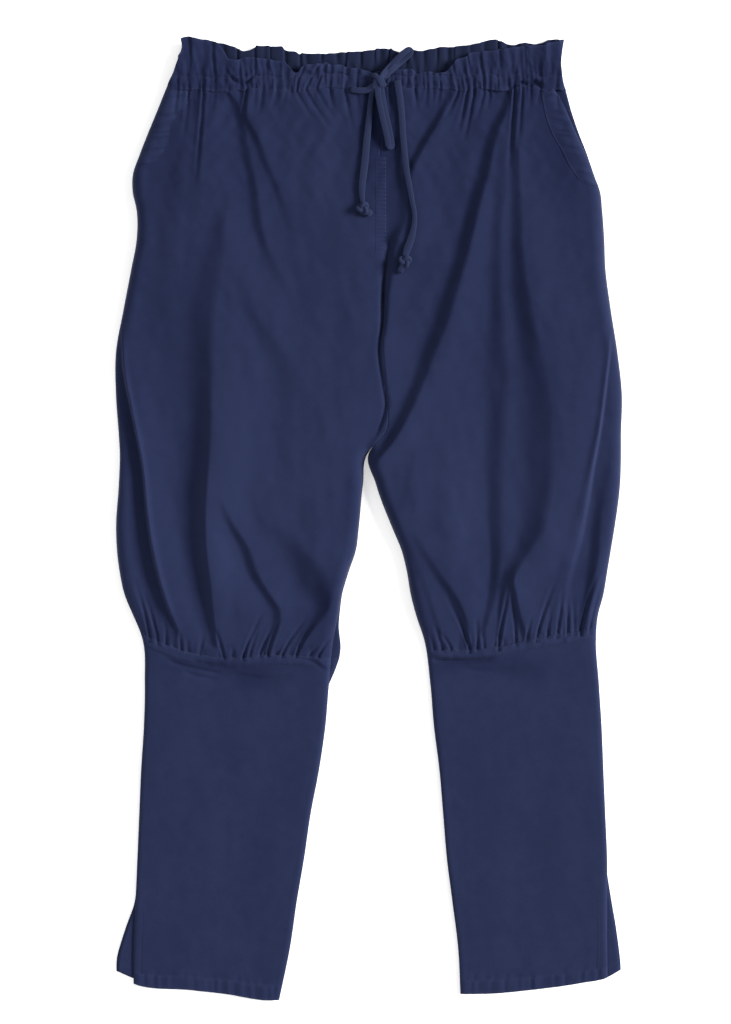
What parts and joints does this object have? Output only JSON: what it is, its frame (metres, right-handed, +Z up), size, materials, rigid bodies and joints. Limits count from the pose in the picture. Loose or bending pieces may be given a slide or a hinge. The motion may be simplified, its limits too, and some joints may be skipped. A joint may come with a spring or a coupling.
{
  "type": "historic costume trousers laid flat",
  "caption": "Full-thighed cloth trousers with a ruffled drawstring waist, side pockets, knee gathers, plain calves and side slits at the hem, laid flat with the front up.",
  "frame": {"origin": "centre of the garment's outline in plan, at the surface that it lies on", "axes": "+Y runs from the hems to the waist, +Z is up out of the front, +X is towards the wearer's left leg"},
  "size_m": [0.546, 1.0395, 0.0282],
  "materials": {
    "navy_cotton": "plain woven washed cotton, matt, navy, slightly faded along the seams",
    "navy_trim": "stitched bands of the same cotton, puckered",
    "navy_cord": "flat sewn drawstring of the same cotton"
  },
  "bodies": {
    "root": {"thigh_front_right": "navy_cotton", "thigh_front_left": "navy_cotton", "thigh_back_right": "navy_cotton", "thigh_back_left": "navy_cotton", "calf_front_right": "navy_cotton", "calf_front_left": "navy_cotton", "calf_back_right": "navy_cotton", "calf_back_left": "navy_cotton", "waistband_front": "navy_cotton", "waistband_back": "navy_cotton", "pocket_band_right": "navy_trim", "pocket_band_left": "navy_trim", "fly_band": "navy_trim", "drawstring_bow": "navy_cord", "tie_end_right": "navy_cord", "tie_end_left": "navy_cord", "end_knot_right": "navy_cord", "end_knot_left": "navy_cord"}
  },
  "joints": []
}
